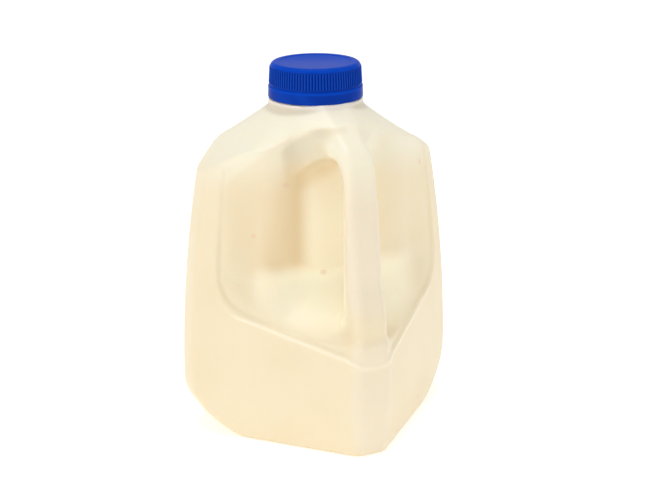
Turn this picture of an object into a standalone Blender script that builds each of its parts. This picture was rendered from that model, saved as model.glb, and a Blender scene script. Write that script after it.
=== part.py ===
"""Quart jug of liquid whipped topping: a blow-moulded jug with a hollow corner handle,
its contents, and a screw cap with a tamper band.

Frame: metres, +Z up, origin at the centre of the base. The jug's walls face +X, -X, +Y and -Y.
The handle stands on the corner between the front (-Y) wall and the side (+X) wall, so the jug is
symmetric about the upright plane through the Z axis and that corner.
Lengths below are millimetres until a mesh is made.
"""
import math

import bpy
import numpy as np
from mathutils import Vector

MM = 0.001
ROOT2 = math.sqrt(2.0)

# jug: walls
HALF_WIDTH = 48.9            # centre to wall, low down
TOP_HALF_WIDTH = 41.2        # centre to wall where the taper ends
TAPER_START_Z = 13.2
TAPER_END_Z = 127.8
TAPER_POWER = 2.14
FOOT_Z = 32.0                # below this height the walls tuck in towards the base
FOOT_TUCK = 3.8
CORNER_LEG = 8.6             # upright corner chamfer, measured along a wall
EDGE_SOFTNESS = 2.4          # width over which two faces of the mould round into each other
BASE_BEVEL_Z = 22.3          # the three plain corners sweep inwards below this height
BASE_BEVEL_DEPTH = 13.5
BASE_BEVEL_POWER = 1.93

# jug: shoulder and neck
COLLAR_RADIUS = 20.7
COLLAR_Z = 143.2
COLLAR_TOP_Z = 146.7
COLLAR_LIP = 0.5
SHOULDER_HALF_WIDTH = 43.2   # octagon that the shoulder starts from, centre to wall
SHOULDER_CORNER = 41.9       # the same octagon, centre to its wide plain corners
SHOULDER_DOME = 0.93         # below 1 the shoulder is slightly hollow
SHOULDER_SOFTNESS = 1.8
NECK_RADIUS = 17.8
NECK_TOP_Z = 160.4
BORE_RADIUS = 16.4
WALL = 0.8
POUR_GAP = 0.4               # between the contents and the wall
FILL_Z = 133.0
AIR_SIZE = 200.0             # block that cuts the contents off at their level

# grip recess in the front wall, copied to the side wall by symmetry
PANEL_LEFT_X = -28.3
PANEL_LEAN_Z = 85.0          # above this height the panel's outer side leans towards the handle
PANEL_LEAN = 0.05
PANEL_FOOT_X = 38.8          # low end of the ledge under the panel
PANEL_FOOT_Z = 44.8
PANEL_FOOT_SLOPE = 0.24
PANEL_CORNER = 16.0          # roundness of the panel's low outer corner
PANEL_STEP = 0.9
PANEL_STEP_RUN = 2.0
PANEL_SOFTNESS = 0.8
PANEL_EDGE_Y = -44.9         # the panel along its outer side
PANEL_EDGE_STEP = 0.1
PANEL_Y = -40.8              # the middle of the panel, at the height below
PANEL_TOP_Z = 129.0
PANEL_TILT = 0.045           # the panel overhangs a little while the wall leans back
PANEL_DISH_RUN = 17.0
PANEL_BLEND = 1.0
PANEL_INSIDE_DEPTH = 8.0     # deepest that the panel may lie this far in from its outline
PANEL_INSIDE_RUN = 12.0

# finger pocket, from the panel to behind the handle
POCKET_WALL_R = 25.0         # inner wall, from the Z axis towards the handle
POCKET_WALL_CROWN = 45.0     # that wall is slightly crowned
POCKET_SIDE_NORMAL = (0.87, -0.49)
POCKET_SIDE_OFFSET = 17.4
POCKET_CREASE = 2.4          # roundness of its hollow creases
POCKET_ROLL = 14.0           # roundness of the turn from the panel into the pocket
RECESS_EDGE = 2.5
ROOT_BULGE = 2.5             # the inner wall comes forward under the root of the arm
ROOT_Z = 128.5
ROOT_DROP = 0.65
ROOT_RUN = 5.0

# slope in the foot of the recess, up from the ledge to the back of the pocket
SLOPE_FRONT_Y = -46.0
SLOPE_WEDGE = 0.15           # the slope starts higher above the ledge towards the handle
SLOPE_WEDGE_X = -7.0
SLOPE_TOP_Z = 70.0
SLOPE_LEFT_RISE = 6.0        # its top is this much higher on the outer side
SLOPE_TURN_X = 4.0
SLOPE_TURN = 14.0
SLOPE_WALL_X = 5.0           # straight line that stands for the foot of the inner wall
SLOPE_WALL_Y = -26.6
SLOPE_WALL_RUN = 0.74
SLOPE_BACK_CREASE = 4.0
SLOPE_BACK_ROLL = 13.0
SLOPE_STEEPEST = 3.0
SLOPE_CREASE = 5.0

# handle stations: outer point (distance towards the corner, height), inner point, half-width
HANDLE_STATIONS = (
    ((60.0, 36.0), (46.0, 40.0), 6.0),
    ((62.1, 45.0), (45.0, 49.0), 6.8),
    ((62.0, 50.0), (44.0, 54.0), 7.2),
    ((61.4, 59.5), (43.0, 62.0), 7.4),
    ((60.4, 64.5), (42.5, 66.0), 7.5),
    ((58.4, 70.5), (42.0, 71.0), 7.5),
    ((56.2, 78.5), (41.5, 78.5), 7.6),
    ((54.9, 88.5), (41.2, 88.5), 7.6),
    ((53.3, 102.0), (41.0, 102.0), 7.6),
    ((51.7, 113.5), (40.4, 112.0), 7.6),
    ((49.6, 125.3), (38.6, 119.5), 7.5),
    ((46.8, 129.5), (36.5, 123.5), 7.5),
    ((42.8, 133.3), (33.5, 126.3), 7.6),
    ((36.0, 136.6), (30.0, 128.0), 8.2),
    ((28.0, 140.0), (25.5, 128.0), 10.0),
    ((16.0, 141.5), (14.0, 126.0), 12.0),
)
# handle section: (share of the way from inner to outer point, share of the half-width)
HANDLE_SECTION = (
    (1.00, 0.00), (1.00, 0.63), (0.96, 0.74), (0.82, 0.95), (0.70, 1.00),
    (0.38, 0.98), (0.16, 0.80), (0.03, 0.48), (0.00, 0.00),
)

# cap
CAP_BOTTOM_Z = 147.0
CAP_TOP_Z = 162.3
BAND_RADIUS = 20.8
BAND_TOP_Z = 152.2
BAND_EDGE = 0.5
SKIRT_RADIUS = 20.3
SKIRT_TOP_RADIUS = 19.9
CAP_INNER_RADIUS = 18.4
CAP_RIM = 1.9
CAP_RIM_SHARE = 0.3          # where the two facets of the rim meet
CAP_TOP_THICKNESS = 1.5
CAP_RECESS_RADIUS = 15.4
CAP_RECESS = 0.2
CAP_STEPS = 48

# mesh density
RING_POINTS = 60
CORNER_CROWDING = 0.07       # brings the points of a ring closer together round its corners
LEAST_RADIUS = 8.0           # limits of the search for the surface along a ring's rays
GREATEST_RADIUS = 80.0
SEARCH_STEPS = 40
SLOPE_PROBE = 0.05
LEAST_STEEPNESS = 0.5
RING_HEIGHTS = (0.0, 0.8, 3.0, 6.5, 11.0, 16.0, 22.0, 30.0, 43.0, 48.0, 54.0, 60.0, 66.0, 71.0, 76.0, 82.0,
                91.0, 100.0, 109.0, 115.0, 119.0, 122.0, 125.0, 127.5, 130.0, 134.0, 138.0, 141.5)


def smooth_max(a, b, width):
    """The larger of two fields, rounded over the given width where they cross."""
    h = np.maximum(width - np.abs(a - b), 0.0)
    return np.maximum(a, b) + h * h / (4.0 * width)


def smooth_min(a, b, width):
    return -smooth_max(-a, -b, width)


def smooth_step(value, run):
    share = np.clip(value / run, 0.0, 1.0)
    return share * share * (3.0 - 2.0 * share)


def half_width(z):
    """Centre to wall at a height, without the tuck at the foot."""
    share = np.maximum(z - TAPER_START_Z, 0.0) / (TAPER_END_Z - TAPER_START_Z)
    return HALF_WIDTH - (HALF_WIDTH - TOP_HALF_WIDTH) * share ** TAPER_POWER


def prism_field(x, y, half, corner, handle_corner):
    """Square section with four chamfered corners; the handle's corner has its own distance."""
    field = smooth_max(np.abs(x) - half, np.abs(y) - half, EDGE_SOFTNESS)
    plain = np.maximum(np.abs(x + y), y - x) / ROOT2 - corner
    toward_handle = (x - y) / ROOT2 - handle_corner
    return smooth_max(smooth_max(field, plain, EDGE_SOFTNESS), toward_handle, EDGE_SOFTNESS)


def outer_field(x, y, z):
    """Negative inside the jug's outer form, before the grip is sunk into it."""
    half = half_width(z)
    foot = np.clip(1.0 - z / FOOT_Z, 0.0, 1.0)
    half = half - FOOT_TUCK * (1.0 - np.sqrt(1.0 - foot ** 2))
    corner = (2.0 * half - CORNER_LEG) / ROOT2
    sweep = np.clip(1.0 - z / BASE_BEVEL_Z, 0.0, 1.0) ** BASE_BEVEL_POWER
    walls = prism_field(x, y, half, corner - BASE_BEVEL_DEPTH * sweep, corner)

    rise = (z - TAPER_END_Z) / (COLLAR_Z - TAPER_END_Z)
    share = np.sign(rise) * np.abs(rise) ** SHOULDER_DOME
    handle_corner = (2.0 * SHOULDER_HALF_WIDTH - CORNER_LEG) / ROOT2
    octagon = prism_field(x, y, SHOULDER_HALF_WIDTH, SHOULDER_CORNER, handle_corner)
    shoulder = ((1.0 - share) * octagon + share * (np.hypot(x, y) - COLLAR_RADIUS)) / ROOT2
    return smooth_max(walls, shoulder, SHOULDER_SOFTNESS)


def panel_outline(x, z):
    """How far inside the panel's outline a place is: past its outer side, and past any side."""
    above_foot = z - PANEL_FOOT_Z - PANEL_FOOT_SLOPE * (PANEL_FOOT_X - x)
    past_side = x - PANEL_LEFT_X - PANEL_LEAN * np.maximum(z - PANEL_LEAN_Z, 0.0)
    return past_side, smooth_min(above_foot, past_side, PANEL_CORNER)


def panel_plane(past_side, z):
    """Y of the panel, which dishes in from its outer side and stands up while the wall leans."""
    edge = smooth_max(PANEL_EDGE_STEP - half_width(z), PANEL_EDGE_Y, PANEL_BLEND)
    middle = smooth_max(PANEL_Y + PANEL_TILT * (PANEL_TOP_Z - z), edge, PANEL_BLEND)
    return edge + (middle - edge) * smooth_step(past_side, PANEL_DISH_RUN)


def slope_field(x, y, z):
    """Positive above the slope in the foot of the recess."""
    side_line = (POCKET_SIDE_NORMAL[0] * x - POCKET_SIDE_OFFSET) / -POCKET_SIDE_NORMAL[1]
    wall_line = SLOPE_WALL_Y + SLOPE_WALL_RUN * (x - SLOPE_WALL_X)
    panel_line = panel_plane(x - PANEL_LEFT_X, SLOPE_TOP_Z)
    back = smooth_min(side_line, wall_line, SLOPE_BACK_CREASE)
    back = smooth_max(back, panel_line, SLOPE_BACK_ROLL)
    foot = PANEL_FOOT_Z + PANEL_FOOT_SLOPE * (PANEL_FOOT_X - x)
    foot = foot + SLOPE_WEDGE * np.maximum(x - SLOPE_WEDGE_X, 0.0)
    top = SLOPE_TOP_Z + SLOPE_LEFT_RISE * smooth_step(SLOPE_TURN_X - x, SLOPE_TURN)
    steepness = np.minimum((top - foot) / (back - SLOPE_FRONT_Y), SLOPE_STEEPEST)
    share = np.clip((y - SLOPE_FRONT_Y) / (back - SLOPE_FRONT_Y), 0.0, 1.0)
    return (z - foot - (top - foot) * share) / np.hypot(1.0, steepness)


def pocket_field(x, y, z):
    """Positive in front of the pocket's inner wall and side wall."""
    toward_handle = (x - y) / ROOT2
    across = (x + y) / ROOT2
    under_arm = smooth_step(z - ROOT_Z + ROOT_DROP * np.abs(across), ROOT_RUN)
    wall_r = POCKET_WALL_R + ROOT_BULGE * under_arm - across ** 2 / (2.0 * POCKET_WALL_CROWN)
    side = POCKET_SIDE_NORMAL[0] * x + POCKET_SIDE_NORMAL[1] * y - POCKET_SIDE_OFFSET
    return smooth_min(toward_handle - wall_r, side, POCKET_CREASE)


def recess_field(x, y, z):
    """Positive in the recess of the front wall: a stepped panel, the pocket and the slope."""
    past_side, inside = panel_outline(x, z)
    panel = panel_plane(past_side, z)
    step = np.minimum(panel + half_width(z), PANEL_STEP)
    step = (step + PANEL_SOFTNESS) * smooth_step(inside, PANEL_STEP_RUN) - PANEL_SOFTNESS
    shallow = step - half_width(z) - y
    dished = shallow + PANEL_INSIDE_DEPTH * smooth_step(inside, PANEL_INSIDE_RUN)
    deep = smooth_max(np.minimum(panel - y, dished), pocket_field(x, y, z), POCKET_ROLL)
    deep = smooth_min(deep, slope_field(x, y, z), SLOPE_CREASE)
    return smooth_max(shallow, deep, RECESS_EDGE)


def body_field(x, y, z):
    """Negative inside the jug's body, without its handle."""
    mirrored = x + y > 0.0
    front_x = np.where(mirrored, -y, x)
    front_y = np.where(mirrored, -x, y)
    return smooth_max(outer_field(x, y, z), recess_field(front_x, front_y, z), PANEL_SOFTNESS)


def body_distance(x, y, z):
    """The body field divided by its own steepness, so that it is close to a true distance."""
    slopes = []
    for axis in range(3):
        offset = [SLOPE_PROBE if axis == i else 0.0 for i in range(3)]
        ahead = body_field(x + offset[0], y + offset[1], z + offset[2])
        behind = body_field(x - offset[0], y - offset[1], z - offset[2])
        slopes.append((ahead - behind) / (2.0 * SLOPE_PROBE))
    steepness = np.sqrt(sum(slope * slope for slope in slopes))
    return body_field(x, y, z) / np.maximum(steepness, LEAST_STEEPNESS)


def ring_radii(angles, z, inset):
    """Distance from the Z axis to the body's surface, sunk by inset, along each angle."""
    low = np.full_like(angles, LEAST_RADIUS)
    high = np.full_like(angles, GREATEST_RADIUS)
    for _ in range(SEARCH_STEPS):
        middle = 0.5 * (low + high)
        outside = body_distance(middle * np.cos(angles), middle * np.sin(angles), z) + inset > 0.0
        high = np.where(outside, middle, high)
        low = np.where(outside, low, middle)
    return low


def body_rings(inset, top):
    """Rings of the body from its base to the given list of (height, radius) at the neck."""
    even = np.linspace(0.0, 2.0 * math.pi, RING_POINTS, endpoint=False) - math.pi / 4.0
    angles = even + CORNER_CROWDING * np.sin(4.0 * even)
    neck_radius = top[0][1]
    rings = []
    for height in RING_HEIGHTS:
        z = height + inset * (1.0 - 2.0 * height / COLLAR_Z)
        radii = np.maximum(ring_radii(angles, np.full_like(angles, z), inset), neck_radius)
        rings.append([(r * math.cos(a), r * math.sin(a), z) for r, a in zip(radii, angles)])
    for z, radius in top:
        rings.append([(radius * math.cos(a), radius * math.sin(a), z) for a in angles])
    return rings


def handle_rings(inset):
    """Sections of the handle from inside the lower corner up and over to the neck."""
    half_section = [Vector((along, side)) for along, side in HANDLE_SECTION]
    section = half_section + [Vector((p.x, -p.y)) for p in reversed(half_section[1:-1])]
    rings = []
    for outer, inner, half in HANDLE_STATIONS:
        outer, inner = Vector(outer), Vector(inner)
        inward = (inner - outer).normalized() * inset
        outer, inner = outer + inward, inner - inward
        ring = []
        for along, side in section:
            distance, height = inner.lerp(outer, along)
            across = side * (half - inset)
            ring.append(((distance + across) / ROOT2, (across - distance) / ROOT2, height))
        rings.append(ring)
    return rings


def loft(name, rings):
    """Closed mesh through rings of equal length, with a flat face at each end.

    The triangles lean one way on one half and the other way on the other, so the mesh is symmetric
    and forms sunk by different insets have parallel facets.
    """
    count = len(rings[0])
    points = [tuple(MM * value for value in point) for ring in rings for point in ring]
    faces = []
    for row in range(len(rings) - 1):
        for i in range(count):
            j = (i + 1) % count
            low, high = row * count, (row + 1) * count
            if 2 * i < count:
                faces += [(low + i, low + j, high + i), (low + j, high + j, high + i)]
            else:
                faces += [(low + i, low + j, high + j), (low + i, high + j, high + i)]
    faces.append(tuple(reversed(range(count))))
    faces.append(tuple(range((len(rings) - 1) * count, len(rings) * count)))
    mesh = bpy.data.meshes.new(name)
    mesh.from_pydata(points, [], faces)
    mesh.validate()
    obj = bpy.data.objects.new(name, mesh)
    bpy.context.scene.collection.objects.link(obj)
    return obj


def point_outwards(obj):
    """Turns the faces of a closed mesh outwards."""
    bpy.context.view_layer.objects.active = obj
    for other in bpy.context.view_layer.objects:
        other.select_set(other == obj)
    bpy.ops.object.mode_set(mode="EDIT")
    bpy.ops.mesh.select_all(action="SELECT")
    bpy.ops.mesh.normals_make_consistent(inside=False)
    bpy.ops.object.mode_set(mode="OBJECT")


def combine(target, tool, operation, solver="EXACT"):
    """Applies one Boolean and removes the tool."""
    modifier = target.modifiers.new(operation.lower(), "BOOLEAN")
    modifier.operation = operation
    modifier.solver = solver
    modifier.object = tool
    evaluated = target.evaluated_get(bpy.context.evaluated_depsgraph_get())
    result = bpy.data.meshes.new_from_object(evaluated)
    target.modifiers.clear()
    target.data = result
    bpy.data.objects.remove(tool)


def draw_in(obj, gap):
    """Moves each point of a closed mesh inwards by the gap, square to its surface."""
    moves = [vertex.normal * (gap * MM) for vertex in obj.data.vertices]
    for vertex, move in zip(obj.data.vertices, moves):
        vertex.co -= move
    obj.data.update()


def jug_form(name, inset, top, gap=0.0):
    """The jug's solid form sunk by inset: body and handle in one, each drawn in by the gap."""
    body = loft(name, body_rings(inset, top))
    handle = loft(name + "_handle", handle_rings(inset))
    for piece in (body, handle):
        point_outwards(piece)
        draw_in(piece, gap)
    combine(body, handle, "UNION")
    return body


def plain_material(name, colour, roughness):
    material = bpy.data.materials.new(name)
    material.use_nodes = True
    shader = material.node_tree.nodes["Principled BSDF"]
    shader.inputs["Base Color"].default_value = (*colour, 1.0)
    shader.inputs["Roughness"].default_value = roughness
    return material


def cavity_neck():
    """Straight bore from the shoulder to just above the mouth."""
    return [(COLLAR_Z - WALL, BORE_RADIUS), (NECK_TOP_Z + 2.0, BORE_RADIUS)]


def make_jug():
    """Blow-moulded polyethylene shell, open at the neck."""
    lip_radius = COLLAR_RADIUS - COLLAR_LIP
    neck = [(COLLAR_Z, COLLAR_RADIUS), (COLLAR_TOP_Z - COLLAR_LIP, COLLAR_RADIUS),
            (COLLAR_TOP_Z, lip_radius), (COLLAR_TOP_Z, NECK_RADIUS), (NECK_TOP_Z, NECK_RADIUS)]
    jug = jug_form("jug", 0.0, neck)
    cavity = jug_form("jug_cavity", WALL, cavity_neck())
    combine(jug, cavity, "DIFFERENCE")
    jug.data.materials.clear()
    jug.data.materials.append(plain_material("milky_polyethylene", (0.90, 0.82, 0.62), 0.38))
    return jug


def make_topping():
    """The contents, up to their level in the shoulder."""
    topping = jug_form("topping", WALL, cavity_neck(), gap=POUR_GAP)
    air_centre = (0.0, 0.0, (FILL_Z + 0.5 * AIR_SIZE) * MM)
    bpy.ops.mesh.primitive_cube_add(size=AIR_SIZE * MM, location=air_centre)
    air = bpy.context.active_object
    combine(topping, air, "DIFFERENCE")
    topping.data.materials.clear()
    topping.data.materials.append(plain_material("liquid_topping", (0.93, 0.83, 0.60), 0.3))
    return topping


def make_cap():
    """Screw cap and tamper band, turned from one profile that ends on the axis."""
    rim_step = CAP_RIM_SHARE * CAP_RIM
    profile = [
        (0.0, CAP_TOP_Z - CAP_RECESS), (CAP_RECESS_RADIUS, CAP_TOP_Z - CAP_RECESS),
        (CAP_RECESS_RADIUS + CAP_RECESS, CAP_TOP_Z), (SKIRT_TOP_RADIUS - CAP_RIM, CAP_TOP_Z),
        (SKIRT_TOP_RADIUS - rim_step, CAP_TOP_Z - rim_step),
        (SKIRT_TOP_RADIUS, CAP_TOP_Z - CAP_RIM), (SKIRT_RADIUS, BAND_TOP_Z + BAND_EDGE),
        (BAND_RADIUS, BAND_TOP_Z - BAND_EDGE), (BAND_RADIUS, CAP_BOTTOM_Z + BAND_EDGE),
        (BAND_RADIUS - BAND_EDGE, CAP_BOTTOM_Z), (CAP_INNER_RADIUS, CAP_BOTTOM_Z),
        (CAP_INNER_RADIUS, CAP_TOP_Z - CAP_TOP_THICKNESS), (0.0, CAP_TOP_Z - CAP_TOP_THICKNESS),
    ]
    mesh = bpy.data.meshes.new("cap")
    mesh.from_pydata([(r * MM, 0.0, z * MM) for r, z in profile],
                     [(i, i + 1) for i in range(len(profile) - 1)], [])
    cap = bpy.data.objects.new("cap", mesh)
    bpy.context.scene.collection.objects.link(cap)
    turn = cap.modifiers.new("turn", "SCREW")
    turn.steps = CAP_STEPS
    turn.render_steps = CAP_STEPS
    turn.use_merge_vertices = True
    turn.merge_threshold = 0.00001
    mesh.materials.append(plain_material("blue_polypropylene", (0.01, 0.08, 0.42), 0.35))
    return cap


def main():
    for obj in list(bpy.data.objects):
        bpy.data.objects.remove(obj)
    pieces = bpy.data.collections.new("whipped_topping_jug")
    bpy.context.scene.collection.children.link(pieces)
    for piece in (make_jug(), make_topping(), make_cap()):
        bpy.context.scene.collection.objects.unlink(piece)
        pieces.objects.link(piece)
        piece.data.shade_smooth()
        piece.data.set_sharp_from_angle(angle=math.radians(35.0))


main()
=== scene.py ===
"""Dressed model of a quart jug of liquid whipped topping: milky jug, contents and blue screw cap."""
import math

import bpy
import numpy as np
from mathutils import Matrix, Vector


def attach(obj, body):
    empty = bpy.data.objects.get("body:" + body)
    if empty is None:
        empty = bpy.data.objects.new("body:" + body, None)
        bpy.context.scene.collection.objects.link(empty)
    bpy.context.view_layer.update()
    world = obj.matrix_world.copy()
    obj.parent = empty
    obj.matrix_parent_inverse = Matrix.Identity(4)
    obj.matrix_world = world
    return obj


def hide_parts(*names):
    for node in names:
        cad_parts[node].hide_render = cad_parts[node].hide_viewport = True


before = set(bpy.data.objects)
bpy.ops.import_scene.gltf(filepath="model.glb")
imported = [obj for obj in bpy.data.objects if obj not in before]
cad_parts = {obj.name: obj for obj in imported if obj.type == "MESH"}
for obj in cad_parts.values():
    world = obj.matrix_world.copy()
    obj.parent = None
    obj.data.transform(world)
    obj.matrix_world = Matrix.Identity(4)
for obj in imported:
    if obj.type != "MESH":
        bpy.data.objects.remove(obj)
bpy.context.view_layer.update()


# ---- Jug --------------------------------------------------------------------------------------
# A thin shell blow-moulded from natural polyethylene: four tapering walls with chamfered corners,
# a sunken grip panel on two walls, and a hollow handle down the corner between them.
# The form is one smooth field in millimetres, negative inside; the skin is laid onto it.

MM = 0.001
ROOT2 = math.sqrt(2.0)
JUG_HALF_WIDTH, JUG_TOP_HALF_WIDTH = 48.9, 41.2
JUG_TAPER_START, JUG_TAPER_END, JUG_TAPER_POWER = 13.2, 127.8, 2.14
JUG_FOOT_Z, JUG_FOOT_TUCK = 32.0, 3.8
JUG_CORNER_LEG, JUG_EDGE = 8.6, 1.8
JUG_BEVEL_Z, JUG_BEVEL_DEPTH, JUG_BEVEL_POWER = 22.3, 13.5, 1.93
JUG_SHOULDER_HALF_WIDTH, JUG_SHOULDER_CORNER = 43.2, 41.9
JUG_SHOULDER_DOME, JUG_SHOULDER_EDGE = 0.93, 1.6
JUG_COLLAR_RADIUS, JUG_COLLAR_Z, JUG_COLLAR_TOP = 20.7, 143.2, 146.7
COLLAR_HALF_HEIGHT, COLLAR_EDGE, COLLAR_FILLET = 4.0, 0.8, 1.2
BODY_TOP_DROP, BODY_TOP_EDGE = 1.5, 1.0
JUG_NECK_RADIUS, JUG_NECK_TOP, NECK_HALF_HEIGHT = 17.8, 160.4, 12.0
JUG_WALL, JUG_BORE_RADIUS = 0.8, 16.4
BORE_TOOL_TOP = 166.0                # the cavity's tool runs on past the mouth


def smooth_max(a, b, width):
    """Greater of two fields, rounded over a width where they meet."""
    h = np.maximum(width - np.abs(a - b), 0.0)
    return np.maximum(a, b) + h * h / (4.0 * width)


def smooth_min(a, b, width):
    """Lesser of two fields, rounded over a width where they meet."""
    return -smooth_max(-a, -b, width)


def smooth_step(value, run):
    """0 up to zero and 1 past the run, with soft ends."""
    share = np.clip(value / run, 0.0, 1.0)
    return share * share * (3.0 - 2.0 * share)


def wall_half_width(z):
    """Half the width over the flat walls, which draw in towards the shoulder."""
    share = np.maximum(z - JUG_TAPER_START, 0.0) / (JUG_TAPER_END - JUG_TAPER_START)
    drop = (JUG_HALF_WIDTH - JUG_TOP_HALF_WIDTH) * share ** JUG_TAPER_POWER
    return JUG_HALF_WIDTH - drop


def chamfered_square(x, y, half, corner, handle_corner):
    """Square with its corners cut; the handle's corner has a cut of its own."""
    field = smooth_max(np.abs(x) - half, np.abs(y) - half, JUG_EDGE)
    plain = np.maximum(np.abs(x + y), y - x) / ROOT2 - corner
    toward_handle = (x - y) / ROOT2 - handle_corner
    return smooth_max(smooth_max(field, plain, JUG_EDGE), toward_handle, JUG_EDGE)


def outer_form(x, y, z):
    """Walls, swept base corners and shoulder, before the grip is sunk."""
    half = wall_half_width(z)
    foot = np.clip(1.0 - z / JUG_FOOT_Z, 0.0, 1.0)
    half = half - JUG_FOOT_TUCK * (1.0 - np.sqrt(1.0 - foot ** 2))
    corner = (2.0 * half - JUG_CORNER_LEG) / ROOT2
    sweep = np.clip(1.0 - z / JUG_BEVEL_Z, 0.0, 1.0) ** JUG_BEVEL_POWER
    walls = chamfered_square(x, y, half, corner - JUG_BEVEL_DEPTH * sweep, corner)
    rise = (z - JUG_TAPER_END) / (JUG_COLLAR_Z - JUG_TAPER_END)
    share = np.sign(rise) * np.abs(rise) ** JUG_SHOULDER_DOME
    handle_corner = (2.0 * JUG_SHOULDER_HALF_WIDTH - JUG_CORNER_LEG) / ROOT2
    octagon = chamfered_square(x, y, JUG_SHOULDER_HALF_WIDTH, JUG_SHOULDER_CORNER, handle_corner)
    shoulder = ((1.0 - share) * octagon + share * (np.hypot(x, y) - JUG_COLLAR_RADIUS)) / ROOT2
    return smooth_max(walls, shoulder, JUG_SHOULDER_EDGE)


# panel of one wall: its outline, the step down to it, the bead round its foot and its plane
GRIP_LEFT_X, GRIP_LEFT_LEAN, GRIP_LEAN_Z = -28.3, 0.05, 85.0
GRIP_FOOT_X, GRIP_FOOT_Z, GRIP_FOOT_SLOPE = 38.8, 44.8, 0.24
GRIP_CORNER, GRIP_STEP, GRIP_STEP_RUN, GRIP_EDGE = 16.0, 0.9, 2.0, 0.8
GRIP_BEAD, GRIP_BEAD_HALF, GRIP_BEAD_OUT = 0.45, 1.1, 0.7
GRIP_BEAD_FADE, GRIP_BEAD_Y = 20.0, -30.0
PANEL_EDGE_Y, PANEL_EDGE_STEP, PANEL_DISH_RUN = -44.9, 0.1, 17.0
PANEL_Y, PANEL_TOP_Z, PANEL_LEAN, PANEL_BLEND = -40.8, 129.0, 0.045, 1.0
PANEL_INSIDE_DEPTH, PANEL_INSIDE_RUN = 8.0, 12.0
# finger pocket: the wall behind the hole, its bulge under the arm, and its side wall
HOLE_WALL_R, HOLE_WALL_CROWN = 25.0, 45.0
ROOT_BULGE, ROOT_Z, ROOT_DROP, ROOT_RUN = 2.5, 128.5, 0.65, 5.0
SIDE_NORMAL, SIDE_OFFSET = (0.87, -0.49), 17.4
POCKET_CREASE, POCKET_ROLL, RECESS_EDGE = 2.4, 14.0, 2.5
# slope in the foot of the recess, and the straight lines that stand for the pocket's back
SLOPE_FRONT_Y, SLOPE_WEDGE, SLOPE_WEDGE_X = -46.0, 0.15, -7.0
SLOPE_TOP_Z, SLOPE_LEFT_RISE, SLOPE_TURN_X, SLOPE_TURN = 70.0, 6.0, 4.0, 14.0
SLOPE_WALL_X, SLOPE_WALL_Y, SLOPE_WALL_RUN = 5.0, -26.6, 0.74
SLOPE_LINES_ROLL, SLOPE_BACK_ROLL, SLOPE_CREASE, SLOPE_STEEPEST = 4.0, 13.0, 5.0, 3.0


def grip_outline(x, z):
    """How far inside the panel's outline a place is: above its foot, past its outer side, both."""
    above_foot = z - GRIP_FOOT_Z - GRIP_FOOT_SLOPE * (GRIP_FOOT_X - x)
    past_side = x - GRIP_LEFT_X - GRIP_LEFT_LEAN * np.maximum(z - GRIP_LEAN_Z, 0.0)
    return above_foot, past_side, smooth_min(above_foot, past_side, GRIP_CORNER)


def grip_bead(x, z):
    """Height of the low bead that runs round the foot of the panel, fading out up its side."""
    inside = grip_outline(x, z)[2] + GRIP_BEAD_OUT
    share = smooth_step(GRIP_BEAD_HALF - np.abs(inside), GRIP_BEAD_HALF)
    return GRIP_BEAD * share * smooth_step(GRIP_LEAN_Z - z, GRIP_BEAD_FADE)


def panel_plane(past_side, z):
    """Y of the panel, which dishes in from its side and stands up while the wall leans back."""
    edge = smooth_max(PANEL_EDGE_STEP - wall_half_width(z), PANEL_EDGE_Y, PANEL_BLEND)
    middle = smooth_max(PANEL_Y + PANEL_LEAN * (PANEL_TOP_Z - z), edge, PANEL_BLEND)
    return edge + (middle - edge) * smooth_step(past_side, PANEL_DISH_RUN)


def slope_top(x, y):
    """Height and steepness of the slope in the foot of the recess, which rises to its back."""
    side_line = (SIDE_NORMAL[0] * x - SIDE_OFFSET) / -SIDE_NORMAL[1]
    wall_line = SLOPE_WALL_Y + SLOPE_WALL_RUN * (x - SLOPE_WALL_X)
    panel_line = panel_plane(x - GRIP_LEFT_X, SLOPE_TOP_Z)
    back = smooth_max(smooth_min(side_line, wall_line, SLOPE_LINES_ROLL), panel_line, SLOPE_BACK_ROLL)
    foot = GRIP_FOOT_Z + GRIP_FOOT_SLOPE * (GRIP_FOOT_X - x)
    foot = foot + SLOPE_WEDGE * np.maximum(x - SLOPE_WEDGE_X, 0.0)
    top = SLOPE_TOP_Z + SLOPE_LEFT_RISE * smooth_step(SLOPE_TURN_X - x, SLOPE_TURN)
    steepness = (top - foot) / (back - SLOPE_FRONT_Y)
    share = np.clip((y - SLOPE_FRONT_Y) / (back - SLOPE_FRONT_Y), 0.0, 1.0)
    return foot + (top - foot) * share, np.minimum(steepness, SLOPE_STEEPEST)


def grip_recess(x, y, z):
    """Recess of one wall: a stepped panel that falls in to a finger pocket with a sloped foot."""
    past_side, inside = grip_outline(x, z)[1:]
    panel = panel_plane(past_side, z)
    half = wall_half_width(z)
    step = np.minimum(panel + half, GRIP_STEP)
    shallow = (step + GRIP_EDGE) * smooth_step(inside, GRIP_STEP_RUN) - GRIP_EDGE - half - y
    well_inside = PANEL_INSIDE_DEPTH * smooth_step(inside, PANEL_INSIDE_RUN)
    flat = np.minimum(panel - y, shallow + well_inside)
    toward_handle = (x - y) / ROOT2
    across = (x + y) / ROOT2
    above_arch = z - ROOT_Z + ROOT_DROP * np.abs(across)
    wall_r = HOLE_WALL_R + ROOT_BULGE * smooth_step(above_arch, ROOT_RUN)
    inner = toward_handle - (wall_r - across ** 2 / (2.0 * HOLE_WALL_CROWN))
    side = SIDE_NORMAL[0] * x + SIDE_NORMAL[1] * y - SIDE_OFFSET
    pocket = smooth_min(inner, side, POCKET_CREASE)
    deep = smooth_max(flat, pocket, POCKET_ROLL)
    slope, steepness = slope_top(x, y)
    deep = smooth_min(deep, (z - slope) / np.hypot(1.0, steepness), SLOPE_CREASE)
    return smooth_max(shallow, deep, RECESS_EDGE)


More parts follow.
